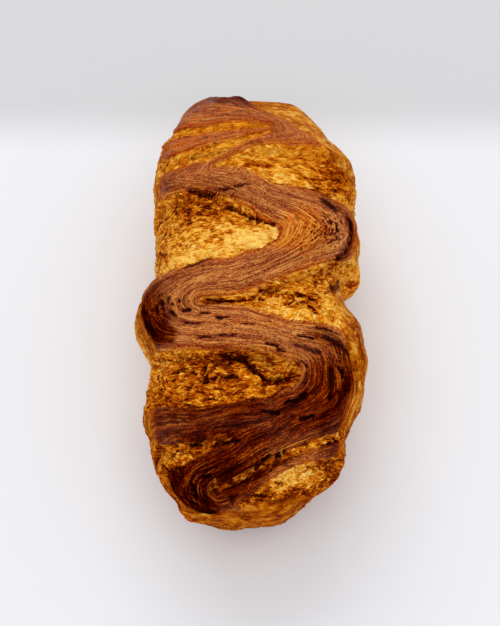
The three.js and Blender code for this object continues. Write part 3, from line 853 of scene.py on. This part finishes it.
    # The tongues' crumb, the side where layers still show, and the wall that touched the tin.
    # Crumb is paler where the flakes stand up and browner between them: partly painted light and shade.
    crumb_tone = plus(
        -0.53, (crumbs, 1.2), (mark("crumb"), 0.2), (clumps, 0.75), (fibres, 0.7), (bake, -0.6),
        # A tongue's near side is painted brighter and its dip darker: painted highlight and painted shade.
        (mark("lip"), 0.1), (mark("sunken"), -0.1), (mark("fleck"), 1.0), (mark("char"), -0.2),
        # painted shade in slits and tears
        (mark("slit"), -0.7),
    )
    tongue = ramp(calmed(crumb_tone, 0.55, 0.5), [
        (0.1, "#340a00"), (0.28, "#782400"), (0.44, "#b44e00"), (0.61, "#de820e"), (0.78, "#f6ae2e"),
        (0.96, "#ffd068"),
    ])
    wall_tone = plus(-0.1, (crumbs, 0.4), (blotches, 0.6), (clumps, 0.6), (bake, -0.25))
    wall = ramp(wall_tone, [(0.36, "#742600"), (0.49, "#ac5204"), (0.6, "#d0801a"), (0.74, "#eeb454")])
    side = ramp(tone, [(0.3, "#521200"), (0.46, "#9c4000"), (0.6, "#ce7612"), (0.78, "#eeac42")])
    side = mix(between(mark("edge"), -8.0, 0.0), side, strand)
    skin = mix(mark("side"), tongue, side)
    skin = mix(maths("MAXIMUM", mark("wall"), mark("smooth")), skin, wall)

    # Pale bits and charring go over both. Painted shade darkens the insides of slits, tears and holes.
    colour = mix(on_strand, skin, strand)
    pale_tone = maths("ADD", crumbs, mark("fleck"))
    pale_dough = ramp(pale_tone, [(0.36, "#702000"), (0.5, "#b46008"), (0.68, "#e09a2a")])
    colour = mix(mark("gold"), colour, pale_dough)
    charring = times(between(mark("char"), 0.3, 1.0), between(grain, 0.35, 0.6, 0.2, 0.85))
    colour = mix(charring, colour, linear("#240c06"))
    # painted shade deep in slits and tears
    colour = mix(times(between(mark("slit"), 0.45, 0.95), 0.85), colour, linear("#220300"))
    # painted shade inside bubble holes
    colour = mix(times(shaded_hole, times(on_strand, 0.6)), colour, linear("#5a1602"))

    height = blend(on_strand, crumbs, plus(tone, (shaded_hole, -0.5), (slit, -0.8)))
    bump = add(tree, "Bump", {}, {"Height": height, "Distance": 0.9 * MM, "Strength": 0.9})
    gloss = blend(on_strand, 0.06, plus(0.32, (gilt, -0.2)))
    surface = add(tree, "BsdfPrincipled", {}, {
        "Base Color": colour, "Roughness": blend(on_strand, 0.62, 0.36), "IOR": 1.4,
        "Normal": bump.outputs[0], "Specular IOR Level": times(between(bake, 1.0, 0.2), gloss),
    })
    add(tree, "OutputMaterial", {}, {"Surface": surface.outputs[0]})
    return material


CRUST_FINISH = baked_crust()
crust.data.materials.append(CRUST_FINISH)
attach(crust, "root")
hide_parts("loaf")

# %% [markdown]
# ## Flakes and threads
# The crumb of a tongue tore into thousands of thin flakes as it stretched. Crumbs line the tears, a
# few strings of dough still span them, and the edges of the layers stand up from the strand as
# threads. All are strips, and most follow the dough's own direction. One long grid makes each kind:
# it is cut into strips, and each strip is laid along a line traced on the plan.

# %% Laying strips
TRACE_STEP = 0.4
LEAST_SLOPE = 1e-9
TIP = 0.06  # how blunt a strip's tips are
TAPER_POWER = 0.7
EDGE_LIFT = 0.15  # how far a strip's edges lift, of its middle's lift
SEED_REACH = 0.36  # strips start within this share of the girth from the crown
SEED_MARGIN = 6  # and this far from the poles, mm
SEED_TRIES = 12  # places drawn for each strip
rng = np.random.default_rng(7)


def flow(u, v):
    up, down = plan(u, v + TRACE_STEP)["layer"], plan(u, v - TRACE_STEP)["layer"]
    right, left = plan(u + TRACE_STEP, v)["layer"], plan(u - TRACE_STEP, v)["layer"]
    along_u, along_v = up - down, left - right
    size = np.maximum(np.hypot(along_u, along_v), LEAST_SLOPE)
    return along_u / size, along_v / size


def traced(u, v, start_way, steps, stride, way_at):
    line = [(u, v)]
    way = start_way
    for _ in range(steps):
        new = way_at(u, v)
        turn = np.sign(new[0] * way[0] + new[1] * way[1])
        turn = np.where(turn == 0, 1, turn)
        way = new[0] * turn, new[1] * turn
        u, v = u + way[0] * stride, v + way[1] * stride
        line.append((u, v))
    return np.array(line)  # step, u or v, strip


def strips(name, line, widths, lifts, tilts, flecks, slit_shade_kept=1.0):
    """Lay one strip along each traced line: tapered, tilted about its length, its middle lifted."""
    points, _, count = line.shape
    sheet = bmesh.new()
    columns = count * points - 1
    bmesh.ops.create_grid(sheet, x_segments=columns, y_segments=2, size=1)
    grid = np.array([vert.co for vert in sheet.verts])
    column = np.rint((grid[:, 0] + 1) / 2 * columns).astype(int)
    side = np.rint(grid[:, 1])
    strip, step = column // points, column % points
    gaps = [face for face in sheet.faces if len({strip[vert.index] for vert in face.verts}) > 1]
    on, away, where, marks = crust_at(line[:, 0].ravel(), line[:, 1].ravel())
    pick = step * count + strip
    ahead = unit(np.gradient(on.reshape(points, count, 3), axis=0))[step, strip]
    out = unit(away[pick])
    across = unit(np.cross(out, ahead))
    taper = np.sin(np.pi * (TIP + (1 - 2 * TIP) * step / (points - 1))) ** TAPER_POWER
    half = (widths[strip] / 2 * taper * side)[:, None]
    tilt = tilts[strip][:, None]
    lift = (lifts[strip] * taper * np.where(side == 0, 1, EDGE_LIFT))[:, None]
    place = on[pick] - middle + half * (np.cos(tilt) * across + np.sin(tilt) * out) + lift * out
    for vert, spot in zip(sheet.verts, (place * MM).tolist()):
        vert.co = spot
    bmesh.ops.delete(sheet, geom=gaps, context="FACES")
    for face in sheet.faces:
        face.smooth = True
    made = finished(name, sheet)
    # how much of a slit's painted shade a strip keeps
    marks["slit"] = marks["slit"] * slit_shade_kept
    store(made, {mark: values[pick] for mark, values in all_marks(where, marks).items()})
    store(made, {"fleck": flecks[strip]})
    made.data.materials.append(CRUST_FINISH)
    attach(made, "root")
    print(name, "strips:", count, "faces:", len(made.data.polygons))


def seeds(count, keep):
    """Random places on the plan's top and sides where keep is likely, as u and v."""
    end = PROFILE_LENGTH / 2 - SEED_MARGIN
    u = rng.uniform(-GIRTH * SEED_REACH, GIRTH * SEED_REACH, count * SEED_TRIES)
    v = rng.uniform(-end, end, count * SEED_TRIES)
    chosen = np.flatnonzero(rng.uniform(size=u.size) < keep(plan(u, v)))[:count]
    return u[chosen], v[chosen]


# %% Flakes on the tongues
FLAKES = 13500
FLAKE_STEPS = 3
SWERVE = 0.3  # radians by which single flakes stray
CURL = 0.9  # radians by which flakes turn together
CURL_SIZE = 11  # mm
CURL_SEED = 5.5
LEAST_STRIDE = 0.25  # mm to a step of a strip


def likely_flake(here):
    on_tongue = smoothstep(-here["tongue"], -0.6, 0.2) * smoothstep(here["skin"], 0, 2)
    return on_tongue * (1 - 0.6 * smoothstep(-here["edge"], 2, 16))


u, v = seeds(FLAKES, likely_flake)
way_u, way_v = plan(u, v)["way"]
curl = CURL * noise_at(np.stack([u, v, 0 * u], -1), CURL_SIZE, CURL_SEED)
swerve = rng.normal(0, SWERVE, u.size) + curl
way = way_u * np.cos(swerve) - way_v * np.sin(swerve), way_u * np.sin(swerve) + way_v * np.cos(swerve)
stride = rng.gamma(3, 0.28, u.size) + LEAST_STRIDE
line = traced(u, v, way, FLAKE_STEPS, stride, lambda u, v: way)
strips(
    "flakes", line, widths=0.45 + rng.gamma(2, 0.26, u.size), lifts=rng.uniform(0.0, 0.4, u.size),
    tilts=rng.normal(0, 0.4, u.size), flecks=rng.normal(0.0, 0.12, u.size), slit_shade_kept=0.5,
)

# %% Crumbs along the tears
CRUMBS = 1500
CRUMB_STEPS = 4
TEAR_MARGIN = 1.6  # how far from a tear crumbs lie, mm
DEEPEST_TEAR = 3.2


def likely_crumb(here):
    depth, _ = slits_at(here["u"], here["v"], -TEAR_MARGIN)
    return depth / DEEPEST_TEAR * (here["inside"] < 3)


u, v = seeds(CRUMBS, likely_crumb)
turn = rng.uniform(0, 2 * np.pi, u.size)
way = np.cos(turn), np.sin(turn)
line = traced(u, v, way, CRUMB_STEPS, rng.uniform(0.2, 0.6, u.size), lambda u, v: way)
strips(
    "crumbs", line, widths=rng.uniform(0.6, 1.5, u.size), lifts=rng.uniform(0.3, 0.9, u.size),
    tilts=rng.normal(0, 0.8, u.size), flecks=rng.normal(-0.02, 0.14, u.size), slit_shade_kept=0.35,
)

# %% Threads on the strand
THREADS = 5600
THREAD_STEPS = 8


def likely_thread(here):
    on_side = (here["edge"] < 0) * (here["edge"] > -14) * (here["tongue"] > 2)
    on_strand = smoothstep(here["inside"] + 12 * on_side, -0.4, 0.6)
    return on_strand * (0.5 + 0.5 * smoothstep(-here["inside"], -6, 0)) * smoothstep(here["skin"], 0, 2)


u, v = seeds(THREADS, likely_thread)
stride = rng.gamma(3, 0.2, u.size) + LEAST_STRIDE
line = traced(u, v, flow(u, v), THREAD_STEPS, stride, flow)
strips(
    "threads", line, widths=rng.uniform(0.3, 0.65, u.size), lifts=rng.uniform(0.1, 0.35, u.size),
    tilts=rng.normal(0, 0.3, u.size), flecks=rng.normal(0.0, 0.055, u.size),
)

# %% Threads over the tears
BRIDGES = (  # strings of dough that span a tear: from (u, v) to (u, v)
    (11.6, -16.5, 8.4, -27.5), (14, -17.5, 12.5, -27), (4, -20, 0.5, -25.5), (19, -16.5, 23, -25),
    (-24, -57.5, -20.5, -51.5), (1, -59.5, 5.5, -54), (9, -63, 13, -57.5), (20, -93.5, 16, -88),
)
BRIDGE_STEPS = 8
BRIDGE_WIDTH = 0.95
BRIDGE_LIFT = 1.8
u, v, end_u, end_v = np.array(BRIDGES).T
reach = np.hypot(end_u - u, end_v - v)
way = (end_u - u) / reach, (end_v - v) / reach
line = traced(u, v, way, BRIDGE_STEPS, reach / BRIDGE_STEPS, lambda u, v: way)
strips(
    "bridges", line, widths=rng.uniform(0.8, 1.2, u.size) * BRIDGE_WIDTH,
    lifts=np.full(u.size, BRIDGE_LIFT), tilts=rng.normal(0, 0.3, u.size),
    flecks=rng.uniform(0.1, 0.2, u.size), slit_shade_kept=0.0,
)

# %% Edges of single layers
LONG_THREADS = 260
LONG_STEPS = 22
EDGES = (  # where single layer edges stand out: u, v, how far they run either way, width
    (27.2, 19.5, 14, 0.8), (19.5, 9.8, 9, 0.8), (23.9, 7.8, 8, 0.6), (9.6, 30.4, 22, 0.7),
    (15.5, -7.3, 14, 0.6), (55.4, 27.4, 12, 0.8), (59.7, 21.4, 16, 0.9), (63, 16, 12, 0.8),
    (22.8, -59.4, 20, 0.7), (25.9, -57.9, 16, 0.6), (53, -54.2, 24, 0.9), (53.4, -60.4, 20, 0.8),
    (57, -50, 20, 0.8), (59.7, -56.2, 20, 0.9), (35.1, -40.3, 18, 0.9), (62, -60, 14, 0.8),
    (-56, -12.3, 8, 0.7), (-57.5, -22.2, 10, 0.8), (-30.3, -25.2, 8, 0.7), (-26.5, -23.4, 8, 0.7),
    (-60, -16, 12, 0.8), (-30.6, -100, 10, 0.6), (-28, -103.8, 8, 0.6), (-36.2, -97.6, 12, 0.5),
    (-20.9, -112.2, 10, 0.6), (-25, -110.4, 9, 0.6), (-11, -21.8, 10, 1.0), (-8, -25.6, 14, 1.0),
    (-5.9, -98.8, 9, 1.1), (23.1, -87.2, 12, 1.0), (12.2, -92.6, 10, 1.0), (5, -97.2, 9, 0.9),
    (-17.1, 83, 14, 0.9), (-13, 66.6, 14, 0.9), (-20, 64.6, 12, 1.1), (-9, 88.5, 22, 1.1),
    (-36, 45, 12, 0.8), (-8, 48, 14, 0.8), (2, 42, 20, 0.8), (14, 22, 12, 0.9), (17, 13, 12, 0.9),
    (30, 26, 14, 0.7), (31, 5, 14, 0.8), (21, 2, 18, 0.8), (55, 12, 12, 0.9), (53, 5, 10, 0.8),
    (12, 0, 16, 0.8), (-20, -7, 18, 0.7), (24, -38, 14, 0.7), (-44, -33, 12, 0.7), (10, -47.5, 14, 0.8),
)


def likely_edge(here):
    near_side = smoothstep(here["inside"], 0, 1) * smoothstep(-here["inside"], -11, -3)
    gold = smoothstep(-bake_and_shading_at(here["u"], here["v"]), -0.42, -0.2)
    return np.maximum(0.25 * near_side, gold * smoothstep(here["inside"], 0, 1)) + 0.02 * (here["inside"] > 1)


u, v = seeds(LONG_THREADS, likely_edge)
stride = rng.gamma(4, 0.3, u.size) + 0.5
line = traced(u, v, flow(u, v), LONG_STEPS, stride, flow)
strips(
    "layer_edges", line, widths=rng.uniform(0.35, 0.7, u.size), lifts=rng.uniform(0.25, 0.6, u.size),
    tilts=rng.normal(0, 0.2, u.size), flecks=rng.uniform(0.02, 0.16, u.size),
)
u, v, reach, widths = np.array(EDGES).T
way = flow(u, v)
ahead = traced(u, v, way, LONG_STEPS // 2, reach / LONG_STEPS * 2, flow)
behind = traced(u, v, (-way[0], -way[1]), LONG_STEPS // 2, reach / LONG_STEPS * 2, flow)
strips(
    "bright_edges", np.concatenate([behind[:0:-1], ahead]), widths=widths * 0.75, lifts=widths * 0.6,
    tilts=rng.normal(0, 0.2, u.size), flecks=rng.uniform(0.1, 0.3, u.size),
)

# %% [markdown]
# ## The table
# A flat white table. Behind the loaf its paint turns a soft grey: painted shade, standing for a backdrop
# turned away from the light.

# %% Floor
TABLE_HALF = 1.6
GREY_START = 0.116
GREY_END = 0.156
sheet = bmesh.new()
bmesh.ops.create_grid(sheet, x_segments=1, y_segments=1, size=TABLE_HALF)
floor = finished("table", sheet)
paper, tree = new_material("matt_white_paint")
far_off = add(tree, "SeparateXYZ", {}, {0: add(tree, "TexCoord").outputs["Object"]}).outputs["Y"]
painted_shade_share = add(tree, "MapRange", {"interpolation_type": "SMOOTHSTEP"}, {
    "Value": far_off, "From Min": GREY_START, "From Max": GREY_END,
}).outputs[0]
# painted shade: the table greys behind the loaf
painted = add(tree, "Mix", {"data_type": "RGBA"}, {0: painted_shade_share, 6: linear("#ebecee"), 7: linear("#d3d3d4")})
matt = add(tree, "BsdfPrincipled", {}, {
    "Base Color": painted.outputs[2], "Roughness": 0.9, "Specular IOR Level": 0.1,
})
add(tree, "OutputMaterial", {}, {"Surface": matt.outputs[0]})
floor.data.materials.append(paper)

# %% [markdown]
# ## Light
# The room is bright and even. A wide window, high behind the loaf, gives the sheen on the far
# turns. A ceiling light over the near end and pale walls all round keep the shadows soft.

# %% Lights
def area_light(name, place, size, watts):
    light_data = bpy.data.lights.new(name, "AREA")
    light_data.shape = "RECTANGLE"
    light_data.size, light_data.size_y = size
    light_data.energy = watts
    light = bpy.data.objects.new(name, light_data)
    light.location = place
    light.rotation_euler = Vector(place).to_track_quat("Z", "Y").to_euler()
    bpy.context.scene.collection.objects.link(light)


area_light("window", place=(-0.5, 2.6, 3.0), size=(3.2, 2.2), watts=48)
area_light("ceiling", place=(0.1, -1.2, 2.4), size=(2.6, 2.6), watts=19)
world = bpy.data.worlds.new("room")
world.use_nodes = True
walls = world.node_tree.nodes["Background"].inputs
walls["Color"].default_value = linear("#f8f9fc")
walls["Strength"].default_value = 0.75
world.cycles_visibility.glossy = False
bpy.context.scene.world = world
bpy.context.scene.view_settings.view_transform = "Standard"
